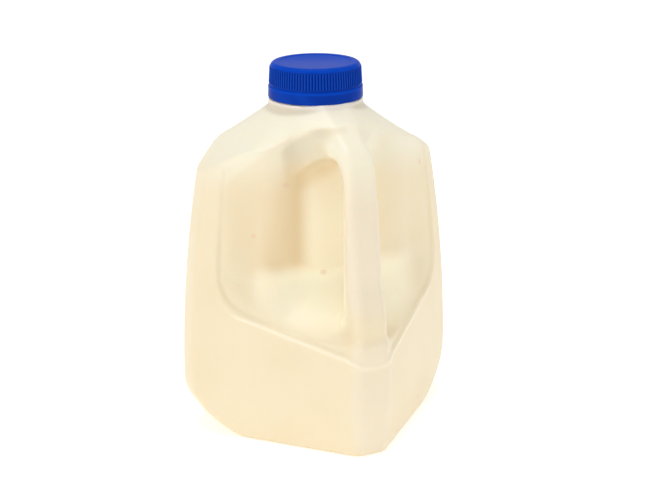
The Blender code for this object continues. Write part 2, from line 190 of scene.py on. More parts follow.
def body_form(x, y, z):
    """Body with its recess in the front wall and the mirrored one in the side wall."""
    mirrored = x + y > 0.0
    front_x = np.where(mirrored, -y, x)
    front_y = np.where(mirrored, -x, y)
    outer = outer_form(x, y, z) - grip_bead(front_x, z) * (front_y < GRIP_BEAD_Y)
    return smooth_max(outer, grip_recess(front_x, front_y, z), GRIP_EDGE)


HANDLE_HALF_WIDTH, HANDLE_ROOT_HALF_WIDTH = 7.7, 10.5
ROOT_WIDEN_R, ROOT_WIDEN = 42.0, 16.0
HANDLE_FACET_HALF, HANDLE_FACET_EDGE, HANDLE_FACE_EDGE = 4.8, 1.6, 1.2
HANDLE_INNER_R, HANDLE_INNER_HALF, HANDLE_INNER_EDGE = 41.0, 3.8, 4.0
HANDLE_SETBACK, SETBACK_Z, SETBACK_RUN = 3.8, 61.0, 18.0     # upright's face behind the corner
HANDLE_TOP = ((49.5, 125.5), (43.4, 132.8), (21.0, 143.2))   # bend, knuckle, end: reach, height
HANDLE_TOP_EDGE = 0.8
HANDLE_CEILING = (38.0, 123.5)       # a point under the arm
HANDLE_CEILING_SLOPE, HANDLE_CEILING_ROLL = -0.40, 9.0
HANDLE_FOOT_Z, HANDLE_ARM_END, HANDLE_END_EDGE = 44.0, 14.0, 4.0
HANDLE_FILLET, HANDLE_ROOT_FILLET = 4.0, 14.0
ROOT_FADE_Z, ROOT_FADE = 112.0, 16.0


def handle_form(x, y, z):
    """Hollow grip: upright on the corner, bent over into an arm that runs up to the neck."""
    reach = (x - y) / ROOT2
    across = np.abs(x + y) / ROOT2
    setback = HANDLE_SETBACK * smooth_step(z - SETBACK_Z, SETBACK_RUN)
    outside = reach - (2.0 * wall_half_width(z) - JUG_CORNER_LEG) / ROOT2 + setback
    for start, end in zip(HANDLE_TOP, HANDLE_TOP[1:]):
        run = Vector(end) - Vector(start)
        run.normalize()
        top = run.y * (reach - start[0]) - run.x * (z - start[1])
        outside = smooth_max(outside, top, HANDLE_TOP_EDGE)
    under = (HANDLE_CEILING[1] + HANDLE_CEILING_SLOPE * (reach - HANDLE_CEILING[0])) - z
    inside = smooth_min(HANDLE_INNER_R - reach, under, HANDLE_CEILING_ROLL)
    widening = smooth_step(ROOT_WIDEN_R - reach, ROOT_WIDEN)
    section = across - HANDLE_HALF_WIDTH - (HANDLE_ROOT_HALF_WIDTH - HANDLE_HALF_WIDTH) * widening
    section = smooth_max(section, (across - HANDLE_FACET_HALF + outside) / ROOT2, HANDLE_FACET_EDGE)
    section = smooth_max(section, (across - HANDLE_INNER_HALF + inside) / ROOT2, HANDLE_INNER_EDGE)
    section = smooth_max(section, outside, HANDLE_FACE_EDGE)
    section = smooth_max(section, inside, HANDLE_INNER_EDGE)
    section = smooth_max(section, HANDLE_FOOT_Z - z, HANDLE_END_EDGE)
    return smooth_max(section, HANDLE_ARM_END - reach, HANDLE_END_EDGE)


def body_and_handle(x, y, z):
    """Body and handle run into each other, with a wide fillet at the root of the arm."""
    body = smooth_max(body_form(x, y, z), z - JUG_COLLAR_TOP + BODY_TOP_DROP, BODY_TOP_EDGE)
    widening = smooth_step(z - ROOT_FADE_Z, ROOT_FADE)
    fillet = HANDLE_FILLET + (HANDLE_ROOT_FILLET - HANDLE_FILLET) * widening
    return smooth_min(body, handle_form(x, y, z), fillet)


def ring_form(axis, z, radius, top, half_height):
    """Distances out of the round side and out of the flat ends of an upright cylinder."""
    return axis - radius, np.abs(z - top + half_height) - half_height


def jug_form(p):
    """Field of the whole jug at an array of points: body, handle, collar and neck."""
    x, y, z = p[:, 0], p[:, 1], p[:, 2]
    axis = np.hypot(x, y)
    form = body_and_handle(x, y, z)
    round_side, ends = ring_form(axis, z, JUG_COLLAR_RADIUS, JUG_COLLAR_TOP, COLLAR_HALF_HEIGHT)
    form = smooth_min(form, smooth_max(round_side, ends, COLLAR_EDGE), COLLAR_FILLET)
    round_side, ends = ring_form(axis, z, JUG_NECK_RADIUS, JUG_NECK_TOP, NECK_HALF_HEIGHT)
    form = np.minimum(form, np.maximum(round_side, ends))
    return np.maximum(form, -z)


def cavity_form(p):
    """The jug's inside: its form drawn in by the wall, and a straight bore up through the mouth."""
    x, y, z = p[:, 0], p[:, 1], p[:, 2]
    form = np.maximum(body_and_handle(x, y, z), -z) + JUG_WALL
    bore = np.maximum(np.hypot(x, y) - JUG_BORE_RADIUS, JUG_COLLAR_Z - JUG_WALL - z)
    bore = np.maximum(bore, z - BORE_TOOL_TOP)
    return np.minimum(form, bore)


GRID_BLOCKS = 24                     # a grid's points are worked through in so many parts
DIAGONAL_TURNS, RELAX_TURNS, SETTLE_TURNS = 4, 3, 4
RELAX_SHARE, SLOPE_PROBE, LEAST_SLOPE = 0.6, 0.04, 0.3


def fill_diagonals(inside):
    """Fills grid squares that are inside at two opposite corners only, so no edge joins four faces."""
    for axes in ((0, 1, 2), (1, 2, 0), (2, 0, 1)):
        grid = inside.transpose(axes)                     # a view, so the grid itself changes
        near, right = grid[:-1, :-1], grid[1:, :-1]
        up, far = grid[:-1, 1:], grid[1:, 1:]
        crossed = (near == far) & (right == up) & (near != right)
        for corner in (near, right, up, far):
            corner |= crossed


def grid_signs(field, low, counts, pitch):
    """Which points of a grid are inside a field."""
    axes = [low[i] + pitch * np.arange(counts[i]) for i in range(3)]
    grid = np.stack(np.meshgrid(*axes, indexing="ij"), -1).reshape(-1, 3)
    values = np.concatenate([field(part) for part in np.array_split(grid, GRID_BLOCKS)])
    inside = values.reshape(counts) < 0.0
    for turn in range(DIAGONAL_TURNS):
        fill_diagonals(inside)
    return inside


def crossed_cells(inside):
    """Which cells of a grid have corners on both sides of the surface."""
    counts = inside.shape
    full = np.ones([count - 1 for count in counts], bool)
    empty = full.copy()
    for i, j, k in np.ndindex(2, 2, 2):
        corner = inside[i:counts[0] - 1 + i, j:counts[1] - 1 + j, k:counts[2] - 1 + k]
        full &= corner
        empty &= ~corner
    return ~(full | empty)


def grid_quads(inside, index):
    """One quad round each grid edge that crosses the surface, facing outward."""
    counts = inside.shape
    quads = []
    for axis in range(3):
        one, two = (axis + 1) % 3, (axis + 2) % 3
        ahead = np.take(inside, range(1, counts[axis]), axis)
        behind = np.take(inside, range(counts[axis] - 1), axis)
        edges = np.argwhere(ahead != behind)
        keep = (edges[:, one] > 0) & (edges[:, two] > 0)
        keep &= (edges[:, one] < counts[one] - 1) & (edges[:, two] < counts[two] - 1)
        edges = edges[keep]
        corners = []
        for a, b in ((-1, -1), (0, -1), (0, 0), (-1, 0)):
            cell = edges.copy()
            cell[:, one] += a
            cell[:, two] += b
            corners.append(index[cell[:, 0], cell[:, 1], cell[:, 2]])
        quad = np.stack(corners, 1)
        flip = ~behind[edges[:, 0], edges[:, 1], edges[:, 2]]
        quad[flip] = quad[flip][:, ::-1]
        quads.append(quad)
    return np.concatenate(quads)


def relax_points(points, quads):
    """Moves each point towards the middle of its neighbours."""
    total = np.zeros_like(points)
    share = np.zeros(len(points))
    for a in range(4):
        for b in (1, 3):
            np.add.at(total, quads[:, a], points[quads[:, (a + b) % 4]])
            np.add.at(share, quads[:, a], 1.0)
    return (1.0 - RELAX_SHARE) * points + RELAX_SHARE * total / share[:, None]


def field_slope(field, p):
    """Gradient of a field at an array of points."""
    slopes = []
    for axis in range(3):
        ahead, behind = p.copy(), p.copy()
        ahead[:, axis] += SLOPE_PROBE
        behind[:, axis] -= SLOPE_PROBE
        slopes.append((field(ahead) - field(behind)) / (2.0 * SLOPE_PROBE))
    return np.stack(slopes, 1)


def pull_to_surface(field, points, pitch):
    """Moves points along the field's slope to its zero level, by one cell at most."""
    slope = field_slope(field, points)
    size = np.maximum((slope * slope).sum(1), LEAST_SLOPE ** 2)
    shift = -(field(points) / size)[:, None] * slope
    reach = np.linalg.norm(shift, axis=1)
    return points + shift * np.minimum(1.0, pitch / np.maximum(reach, 1e-9))[:, None]


def lay_skin(name, field, low, high, pitch):
    """Closed quad mesh over the zero level of a field: one point per grid cell it crosses."""
    counts = [math.ceil((b - a) / pitch) + 1 for a, b in zip(low, high)]
    inside = grid_signs(field, low, counts, pitch)
    active = crossed_cells(inside)
    cells = np.argwhere(active)
    index = np.full(active.shape, -1)
    index[active] = np.arange(len(cells))
    quads = grid_quads(inside, index)
    points = np.array(low) + pitch * (cells + 0.5)
    for turn in range(RELAX_TURNS):
        points = pull_to_surface(field, relax_points(points, quads), pitch)
    for turn in range(SETTLE_TURNS):
        points = pull_to_surface(field, points, pitch)
    mesh = bpy.data.meshes.new(name)
    mesh.from_pydata((points * MM).tolist(), [], quads.tolist())
    obj = bpy.data.objects.new(name, mesh)
    bpy.context.scene.collection.objects.link(obj)
    return obj


def carve(target, tool):
    """Takes one closed mesh out of another and removes the tool."""
    modifier = target.modifiers.new("carve", "BOOLEAN")
    modifier.operation = "DIFFERENCE"
    modifier.solver = "MANIFOLD"
    modifier.object = tool
    evaluated = target.evaluated_get(bpy.context.evaluated_depsgraph_get())
    carved = bpy.data.meshes.new_from_object(evaluated)
    carved.materials.clear()
    target.modifiers.clear()
    target.data = carved
    bpy.data.objects.remove(tool)


def feed(tree, socket, value):
    """Links a socket to another, or sets its value."""
    if isinstance(value, bpy.types.NodeSocket):
        tree.links.new(value, socket)
    else:
        socket.default_value = value


def calculate(tree, operation, first, second=0.0):
    """Result of a math node on sockets or numbers."""
    node = tree.nodes.new("ShaderNodeMath")
    node.operation = operation
    feed(tree, node.inputs[0], first)
    feed(tree, node.inputs[1], second)
    return node.outputs[0]


def product(tree, first, *factors):
    """Sockets and numbers multiplied with each other."""
    for factor in factors:
        first = calculate(tree, "MULTIPLY", first, factor)
    return first


def distance(tree, first, second):
    """Length of the diagonal over two sockets."""
    squares = calculate(tree, "ADD", product(tree, first, first), product(tree, second, second))
    return calculate(tree, "SQRT", squares)


def fade(tree, value, span):
    """0 before the span's first number and 1 after its second, with soft ends."""
    node = tree.nodes.new("ShaderNodeMapRange")
    node.interpolation_type = "SMOOTHSTEP"
    feed(tree, node.inputs["Value"], value)
    node.inputs["From Min"].default_value = span[0]
    node.inputs["From Max"].default_value = span[1]
    return node.outputs["Result"]


def mask(tree, *limits):
    """Product of fades, each given as a value and its span."""
    return product(tree, *[fade(tree, value, span) for value, span in limits])


def grain(tree, place, scale, detail=2.0, stretch=(1.0, 1.0, 1.0)):
    """Noise about 0.5 over the object, stretched along its axes; scale is in cells a metre."""
    mapping = tree.nodes.new("ShaderNodeMapping")
    mapping.inputs["Scale"].default_value = stretch
    tree.links.new(place, mapping.inputs["Vector"])
    noise = tree.nodes.new("ShaderNodeTexNoise")
    noise.inputs["Scale"].default_value = scale
    noise.inputs["Detail"].default_value = detail
    tree.links.new(mapping.outputs["Vector"], noise.inputs["Vector"])
    return noise.outputs["Fac"]


def tint(tree, under, over, share):
    """One colour laid over another by a share."""
    node = tree.nodes.new("ShaderNodeMix")
    node.data_type = "RGBA"
    feed(tree, node.inputs["Factor"], share)
    feed(tree, node.inputs["A"], under)
    feed(tree, node.inputs["B"], over)
    return node.outputs["Result"]


def roughen(tree, shader, height, depth):
    """Fine relief in the surface; depth is in metres."""
    bump = tree.nodes.new("ShaderNodeBump")
    bump.inputs["Distance"].default_value = depth
    tree.links.new(height, bump.inputs["Height"])
    tree.links.new(bump.outputs["Normal"], shader.inputs["Normal"])


def start_material(name, roughness):
    """New node material; returns it with its tree, shader and object coordinates."""
    material = bpy.data.materials.new(name)
    material.use_nodes = True
    tree = material.node_tree
    shader = tree.nodes["Principled BSDF"]
    shader.inputs["Roughness"].default_value = roughness
    place = tree.nodes.new("ShaderNodeTexCoord").outputs["Object"]
    return material, tree, shader, place


def project(tree, place, direction):
    """Distance of a place along a direction, in metres."""
    node = tree.nodes.new("ShaderNodeVectorMath")
    node.operation = "DOT_PRODUCT"
    tree.links.new(place, node.inputs[0])
    node.inputs[1].default_value = direction
    return node.outputs["Value"]


# the wall's own cream, with faint cloudiness
CREAM, MOTTLE = (0.83, 0.71, 0.495, 1.0), (0.80, 0.66, 0.42, 1.0)
CLOUD_SCALE, CLOUD_DETAIL, CLOUD_SPAN, CLOUD_SHARE = 38.0, 3.0, (0.45, 0.72), 0.35
# masks keep to the handle's half and, where a side matters, to the front one; spans are in metres
ALONG_TURN, LEANING = (0.983, 0.177), 0.2
FRONT_SPAN, NEAR_HALF = (0.001, -0.001), (0.006, 0.011)
# painted shade: tan in the finger pocket's valley, under the arch of the hole and faintly over the panel
VALLEY_PAINTED_SHADE, VALLEY_SHARE = (0.76, 0.59, 0.35, 1.0), 0.88
VALLEY_INNER, VALLEY_OUTER = (0.0145, 0.0240), (0.0650, 0.0440)
VALLEY_FOOT, VALLEY_HEAD = (0.0680, 0.0800), (0.1380, 0.1160)
ARCH_INSIDE, ARCH_OUTSIDE, ARCH_SIDE = (0.1170, 0.1255), (0.1345, 0.1315), (0.0300, 0.0210)
POCKET_MOUTH = (0.0400, 0.0340)
PANEL_SHARE, PANEL_CREASE = 0.33, 0.85
PANEL_LEFT, PANEL_HEAD = (-0.0290, -0.0200), (0.1385, 0.1340)
PANEL_FOOT, PANEL_INNER = (0.0720, 0.0900), (0.0180, 0.0265)
# painted light: paler on the slope in the foot of the recess and on the wall behind the hole, as if lit
# through them
SLOPE_PAINTED_LIGHT, WALL_GLOW = (0.99, 0.895, 0.68, 1.0), 0.6
SLOPE_LOW, SLOPE_HIGH, SLOPE_OUTER = (0.0500, 0.0600), (0.0810, 0.0725), (0.0470, 0.0270)
WALL_LOW, WALL_HIGH, WALL_OUTER = (0.0680, 0.0760), (0.1320, 0.0920), (0.0220, 0.0145)
GLOW_MOUTH = (0.0530, 0.0460)
# painted highlight: a pale line along the ledge under the recess
LEDGE_HIGHLIGHT, LEDGE_SHARE = (0.99, 0.95, 0.80, 1.0), 0.3
LEDGE_HEIGHT = (GRIP_FOOT_Z + GRIP_FOOT_SLOPE * GRIP_FOOT_X - 0.7) * MM
LEDGE_WIDTH, LEDGE_LEFT, LEDGE_RIGHT = (0.0013, 0.0004), (-0.0220, -0.0150), (0.0410, 0.0370)
# painted shade: greyer on the handle's outer facet and on the corner under it
HANDLE_PAINTED_SHADE, FACET_SHARE, CORNER_SHARE = (0.82, 0.72, 0.56, 1.0), 0.8, 0.6
FACET_FACE, FACET_FOOT, FACET_HEAD = (0.0480, 0.0505), (0.0550, 0.0750), (0.1275, 0.1245)
CORNER_FACE, CORNER_HEAD = (0.0585, 0.0600), (0.0580, 0.0500)
# painted shade: greyer under the apex of the arch; whiter over the air space in the shoulder, which runs on
# below the level of the contents as a painted highlight on the shoulder
APEX_PAINTED_SHADE, HEADSPACE_WHITE_AND_HIGHLIGHT = (0.72, 0.65, 0.48, 1.0), (0.865, 0.80, 0.63, 1.0)
APEX_SIDE, APEX_INNER, APEX_MOUTH = (-0.0024, -0.0008), (0.0225, 0.0240), (0.0360, 0.0290)
APEX_ARCH, APEX_HEAD, APEX_FOOT = (0.1490, 0.1450), (0.1405, 0.1385), (0.1190, 0.1310)
APEX_CROWN = 11.1                    # bend of the wall behind the hole, per metre
HEADSPACE_SPAN = (0.1080, 0.1310)
# collar: a shaded crease at its foot and a white ring under the cap
COLLAR_SHADE, CREASE_SHARE = (0.66, 0.58, 0.45, 1.0), 0.8
CREASE_FOOT, CREASE_OUTER = (0.1405, 0.1430), (0.0240, 0.0218)
COLLAR_WHITE, COLLAR_RING = (0.88, 0.80, 0.70, 1.0), (0.1446, 0.1464)
# small tan marks on the two walls that face forward
MARK, MARK_SHARE, MARK_RADIUS, MARK_DEPTH = (0.78, 0.50, 0.33, 1.0), 0.4, 0.0013, -0.02
MARK_EDGE = (1.25 * MARK_RADIUS, 0.5 * MARK_RADIUS)
FRONT_MARKS = ((-0.0133, 0.0926), (-0.0003, 0.1152), (0.0123, 0.0741))   # x, z
SIDE_MARKS = ((0.0208, 0.1158), (0.0044, 0.0096))                        # y, z
MILK_ROUGHNESS, MILK_SCATTER, MILK_SCATTER_DEPTH = 0.42, 0.25, 0.0012
MILK_SCATTER_COLOURS = (1.0, 0.6, 0.35)
MILK_GRAIN, MILK_GRAIN_DEPTH, MILK_GRAIN_STRETCH = 900.0, 0.00006, (1.0, 1.0, 1.6)


class JugPlaces:
    """Distances over the jug in metres, as sockets that its masks share."""

    def __init__(self, tree, place):
        self.x = project(tree, place, (1.0, 0.0, 0.0))
        self.y = project(tree, place, (0.0, 1.0, 0.0))
        self.z = project(tree, place, (0.0, 0.0, 1.0))
        self.toward_handle = project(tree, place, (1.0 / ROOT2, -1.0 / ROOT2, 0.0))
        sideways = project(tree, place, (1.0 / ROOT2, 1.0 / ROOT2, 0.0))
        self.across = calculate(tree, "ABSOLUTE", sideways)
        self.along = calculate(tree, "ADD", product(tree, self.across, ALONG_TURN[0]),
                               product(tree, self.toward_handle, ALONG_TURN[1]))
        self.arch = calculate(tree, "ADD", self.z, product(tree, self.across, ROOT_DROP))
        self.near_half = fade(tree, self.toward_handle, NEAR_HALF)
        front = fade(tree, calculate(tree, "ADD", self.x, self.y), FRONT_SPAN)
        self.front = product(tree, front, self.near_half)


def pocket_shade_mask(tree, at):
    """Painted shade in the valley of the finger pocket, under the arch over the hole and faintly over the
    panel.
    """
    leaning = calculate(tree, "ADD", at.along, product(tree, at.z, LEANING))
    valley = mask(tree, (at.along, VALLEY_INNER), (leaning, VALLEY_OUTER),
                  (at.z, VALLEY_FOOT), (at.z, VALLEY_HEAD))
    arch = mask(tree, (at.arch, ARCH_INSIDE), (at.arch, ARCH_OUTSIDE), (at.along, ARCH_SIDE))
    pocket = calculate(tree, "MAXIMUM", product(tree, valley, VALLEY_SHARE), arch)
    pocket = product(tree, pocket, fade(tree, at.toward_handle, POCKET_MOUTH), at.front)
    below_crease = calculate(tree, "SUBTRACT", at.z, product(tree, at.x, PANEL_CREASE))
    panel = mask(tree, (at.x, PANEL_LEFT), (below_crease, PANEL_HEAD),
                 (at.z, PANEL_FOOT), (at.along, PANEL_INNER))
    return calculate(tree, "MAXIMUM", pocket, product(tree, panel, at.front, PANEL_SHARE))


def painted_glow_mask(tree, at):
    """Painted light on the slope in the foot of the recess and on the wall behind the hole."""
    slope = mask(tree, (at.z, SLOPE_LOW), (at.z, SLOPE_HIGH), (at.along, SLOPE_OUTER))
    wall = mask(tree, (at.z, WALL_LOW), (at.z, WALL_HIGH), (at.along, WALL_OUTER))
    glow = calculate(tree, "MAXIMUM", slope, product(tree, wall, WALL_GLOW))
    return product(tree, glow, fade(tree, at.toward_handle, GLOW_MOUTH), at.near_half)


def ledge_highlight_mask(tree, at):
    """Painted highlight along the ledge of both walls."""
    along_wall = calculate(tree, "MINIMUM", at.x, product(tree, at.y, -1.0))
    above = calculate(tree, "ADD", at.z, product(tree, along_wall, GRIP_FOOT_SLOPE))
    above = calculate(tree, "ABSOLUTE", calculate(tree, "SUBTRACT", above, LEDGE_HEIGHT))
    line = mask(tree, (above, LEDGE_WIDTH), (along_wall, LEDGE_LEFT), (along_wall, LEDGE_RIGHT))
    return product(tree, line, LEDGE_SHARE)


def facet_shade_mask(tree, at):
    """Painted shade on the outer facet of the handle and the corner of the body under it."""
    facet = mask(tree, (at.toward_handle, FACET_FACE), (at.z, FACET_FOOT), (at.z, FACET_HEAD))
    corner = mask(tree, (at.toward_handle, CORNER_FACE), (at.z, CORNER_HEAD))
    return calculate(tree, "MAXIMUM", product(tree, facet, FACET_SHARE),
                     product(tree, corner, CORNER_SHARE))


def apex_shade_mask(tree, at, place):
    """Painted shade at the top of the finger pocket, between its side wall and the wall behind the hole."""
    side = project(tree, place, (SIDE_NORMAL[0], SIDE_NORMAL[1], 0.0))
    side = calculate(tree, "SUBTRACT", side, SIDE_OFFSET * MM)
    crown = product(tree, at.across, at.across, APEX_CROWN)
    inner = calculate(tree, "ADD", at.toward_handle, crown)
    apex = mask(tree, (side, APEX_SIDE), (inner, APEX_INNER), (at.toward_handle, APEX_MOUTH),
                (at.arch, APEX_ARCH), (at.z, APEX_HEAD))
    return product(tree, apex, at.front)


def milky_material():
    """Natural polyethylene in front of cream: whiter over the air space, with small tan marks; painted
    shade in the pocket, on the handle's facet and at the collar, painted light on the slope, the ledge and
    the shoulder.
    """
    material, tree, shader, place = start_material("milky_polyethylene", MILK_ROUGHNESS)
    at = JugPlaces(tree, place)
    cloud = fade(tree, grain(tree, place, CLOUD_SCALE, CLOUD_DETAIL), CLOUD_SPAN)
    colour = tint(tree, CREAM, MOTTLE, product(tree, cloud, CLOUD_SHARE))
    # painted shade of the pocket's valley, the arch over the hole and the panel
    pocket = pocket_shade_mask(tree, at)
    colour = tint(tree, colour, VALLEY_PAINTED_SHADE, pocket)
    # painted light on the slope and the wall behind the hole
    colour = tint(tree, colour, SLOPE_PAINTED_LIGHT, painted_glow_mask(tree, at))
    # painted highlight along the ledge
    colour = tint(tree, colour, LEDGE_HIGHLIGHT, ledge_highlight_mask(tree, at))
    # painted shade on the handle's facet and the corner under it
    colour = tint(tree, colour, HANDLE_PAINTED_SHADE, facet_shade_mask(tree, at))
    apex = apex_shade_mask(tree, at, place)
    unshaded = calculate(tree, "SUBTRACT", 1.0, calculate(tree, "MAXIMUM", apex, pocket))
    # whiter over the air space, and a painted highlight on the shoulder below the contents' level; kept off
    # the painted shade
    headspace_and_highlight = product(tree, fade(tree, at.z, HEADSPACE_SPAN), unshaded)
    colour = tint(tree, colour, HEADSPACE_WHITE_AND_HIGHLIGHT, headspace_and_highlight)
    # painted shade under the apex of the arch
    colour = tint(tree, colour, APEX_PAINTED_SHADE, product(tree, apex, fade(tree, at.z, APEX_FOOT)))
    from_axis = distance(tree, at.x, at.y)
    crease = mask(tree, (at.z, CREASE_FOOT), (from_axis, CREASE_OUTER))
    colour = tint(tree, colour, COLLAR_SHADE, product(tree, crease, CREASE_SHARE))
    colour = tint(tree, colour, COLLAR_WHITE, fade(tree, at.z, COLLAR_RING))
    for side, marks, depth in ((at.x, FRONT_MARKS, at.y),
                               (at.y, SIDE_MARKS, product(tree, at.x, -1.0))):
        near_side = calculate(tree, "LESS_THAN", depth, MARK_DEPTH)
        for mark_side, mark_z in marks:
            away = distance(tree, calculate(tree, "SUBTRACT", side, mark_side),
                            calculate(tree, "SUBTRACT", at.z, mark_z))
            spot = product(tree, fade(tree, away, MARK_EDGE), near_side, MARK_SHARE)
            colour = tint(tree, colour, MARK, spot)
    tree.links.new(colour, shader.inputs["Base Color"])
    shader.inputs["Subsurface Weight"].default_value = MILK_SCATTER
    shader.inputs["Subsurface Radius"].default_value = MILK_SCATTER_COLOURS
    shader.inputs["Subsurface Scale"].default_value = MILK_SCATTER_DEPTH
    skin = grain(tree, place, MILK_GRAIN, stretch=MILK_GRAIN_STRETCH)
    roughen(tree, shader, skin, MILK_GRAIN_DEPTH)
    return material


SKIN_LOW, SKIN_HIGH = (-51.0, -51.0, -1.0), (51.0, 51.0, 162.0)
CAVITY_HIGH = (51.0, 51.0, BORE_TOOL_TOP + 2.0)
SKIN_PITCH, QUICK_PITCH, INSIDE_PITCH = 1.0, 2.0, 2.5
SHARP_ANGLE = math.radians(50.0)

jug = lay_skin("jug_wall", jug_form, SKIN_LOW, SKIN_HIGH, SKIN_PITCH)
carve(jug, lay_skin("jug_cavity", cavity_form, SKIN_LOW, CAVITY_HIGH, INSIDE_PITCH))
jug.data.shade_smooth()
jug.data.set_sharp_from_angle(angle=SHARP_ANGLE)
jug.data.materials.append(milky_material())
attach(jug, "root")
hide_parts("jug")


# ---- Topping ----------------------------------------------------------------------------------
# The contents fill the jug and its handle up into the shoulder, a little clear of the wall.
# They show only where the jug is opened or hidden, so their skin is coarse.

FILL_Z, POUR_GAP = 133.0, 0.4
TOPPING_HIGH = (51.0, 51.0, FILL_Z + 3.0)
TOPPING_CREAM, STREAK_CREAM = (0.93, 0.84, 0.62, 1.0), (0.90, 0.78, 0.54, 1.0)
STREAK_SCALE, STREAK_STRETCH, STREAK_SPAN = 30.0, (1.0, 1.0, 0.3), (0.35, 0.7)
TOPPING_ROUGHNESS, TOPPING_SCATTER, TOPPING_SCATTER_DEPTH = 0.25, 0.2, 0.004
TOPPING_GRAIN, TOPPING_GRAIN_DEPTH = 120.0, 0.00005


def contents_form(p):
    """The cavity drawn in by the gap and cut off at the level of the contents."""
    return np.maximum(cavity_form(p) + POUR_GAP, p[:, 2] - FILL_Z)


def topping_material():
    """Smooth pourable cream with faint streaks."""
    material, tree, shader, place = start_material("liquid_topping", TOPPING_ROUGHNESS)
    streaks = fade(tree, grain(tree, place, STREAK_SCALE, stretch=STREAK_STRETCH), STREAK_SPAN)
    tree.links.new(tint(tree, TOPPING_CREAM, STREAK_CREAM, streaks), shader.inputs["Base Color"])
    shader.inputs["Subsurface Weight"].default_value = TOPPING_SCATTER
    shader.inputs["Subsurface Scale"].default_value = TOPPING_SCATTER_DEPTH
    roughen(tree, shader, grain(tree, place, TOPPING_GRAIN), TOPPING_GRAIN_DEPTH)
    return material


topping = lay_skin("liquid_topping", contents_form, SKIN_LOW, TOPPING_HIGH, INSIDE_PITCH)
topping.data.shade_smooth()
topping.data.set_sharp_from_angle(angle=SHARP_ANGLE)
topping.data.materials.append(topping_material())
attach(topping, "root")
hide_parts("topping")


# ---- Cap --------------------------------------------------------------------------------------
# Blue screw cap: a turned skirt, rim and tamper band, with fine upright ribs round the skirt.
# A narrow groove parts the band from the skirt.

CAP_BOTTOM, CAP_TOP = 147.0, 162.3
CAP_RIM, CAP_TOP_THICKNESS, CAP_INSIDE_RADIUS = 2.0, 1.5, 18.4
LID_RADIUS, LID_DEPTH, LID_EDGE, LID_LIP = 15.4, 0.2, 0.15, 0.2
SKIRT_RADIUS, SKIRT_TOP_RADIUS = 20.15, 19.7
GROOVE_Z, GROOVE_HEIGHT, GROOVE_DEPTH = 152.5, 0.3, 0.2
SKIRT_TAPER = (SKIRT_RADIUS - SKIRT_TOP_RADIUS) / (CAP_TOP - CAP_RIM - GROOVE_Z)
BAND_RADIUS, BAND_TOP, BAND_EDGE, BAND_FOOT_EDGE = 20.8, 152.2, 0.5, 0.4
BAND_NECK, BAND_NECK_DROP = 0.12, 2.0      # the band draws in slightly above its foot
RIB_COUNT, RIB_SEED, RIB_SIDES, RIB_SHORTEST = 98, 4, 10, 0.985
RIB_RADIUS, RIB_STANDOFF, RIB_LOW, RIB_HIGH = 0.42, 0.3, 153.3, 160.4
CAP_STEPS = 192
CAP_SHARP_ANGLE = math.radians(40.0)


def arc(centre_r, centre_z, radius, start, end, count):
    """Points of a rounded edge in a turned profile, angles in degrees from the radial direction."""
    angles = [math.radians(start + (end - start) * i / count) for i in range(count + 1)]
    return [(centre_r + radius * math.cos(a), centre_z + radius * math.sin(a)) for a in angles]


def cap_profile():
    """Half section of the cap from the axis over the top, down the outside and up the inside."""
    lip_r = LID_RADIUS + LID_EDGE + LID_LIP
    neck_r = BAND_RADIUS - BAND_NECK
    profile = [(0.0, CAP_TOP - LID_DEPTH)]
    profile += arc(LID_RADIUS, CAP_TOP - LID_DEPTH + LID_EDGE, LID_EDGE, -90.0, 0.0, 3)
    profile += arc(lip_r, CAP_TOP - LID_LIP, LID_LIP, 180.0, 90.0, 3)
    profile += arc(SKIRT_TOP_RADIUS - CAP_RIM, CAP_TOP - CAP_RIM, CAP_RIM, 90.0, 0.0, 10)
    profile.append((SKIRT_RADIUS, GROOVE_Z + GROOVE_HEIGHT))
    profile.append((SKIRT_RADIUS - GROOVE_DEPTH, GROOVE_Z + GROOVE_HEIGHT))
    profile.append((SKIRT_RADIUS - GROOVE_DEPTH, GROOVE_Z))
    profile += arc(neck_r - BAND_EDGE, BAND_TOP - BAND_EDGE, BAND_EDGE, 90.0, 0.0, 5)
    profile.append((neck_r, BAND_TOP - BAND_NECK_DROP))
    profile += arc(BAND_RADIUS - BAND_FOOT_EDGE, CAP_BOTTOM + BAND_FOOT_EDGE, BAND_FOOT_EDGE, 0.0, -90.0, 4)
    profile.append((CAP_INSIDE_RADIUS, CAP_BOTTOM))
    profile.append((CAP_INSIDE_RADIUS, CAP_TOP - CAP_TOP_THICKNESS))
    profile.append((0.0, CAP_TOP - CAP_TOP_THICKNESS))
    return profile


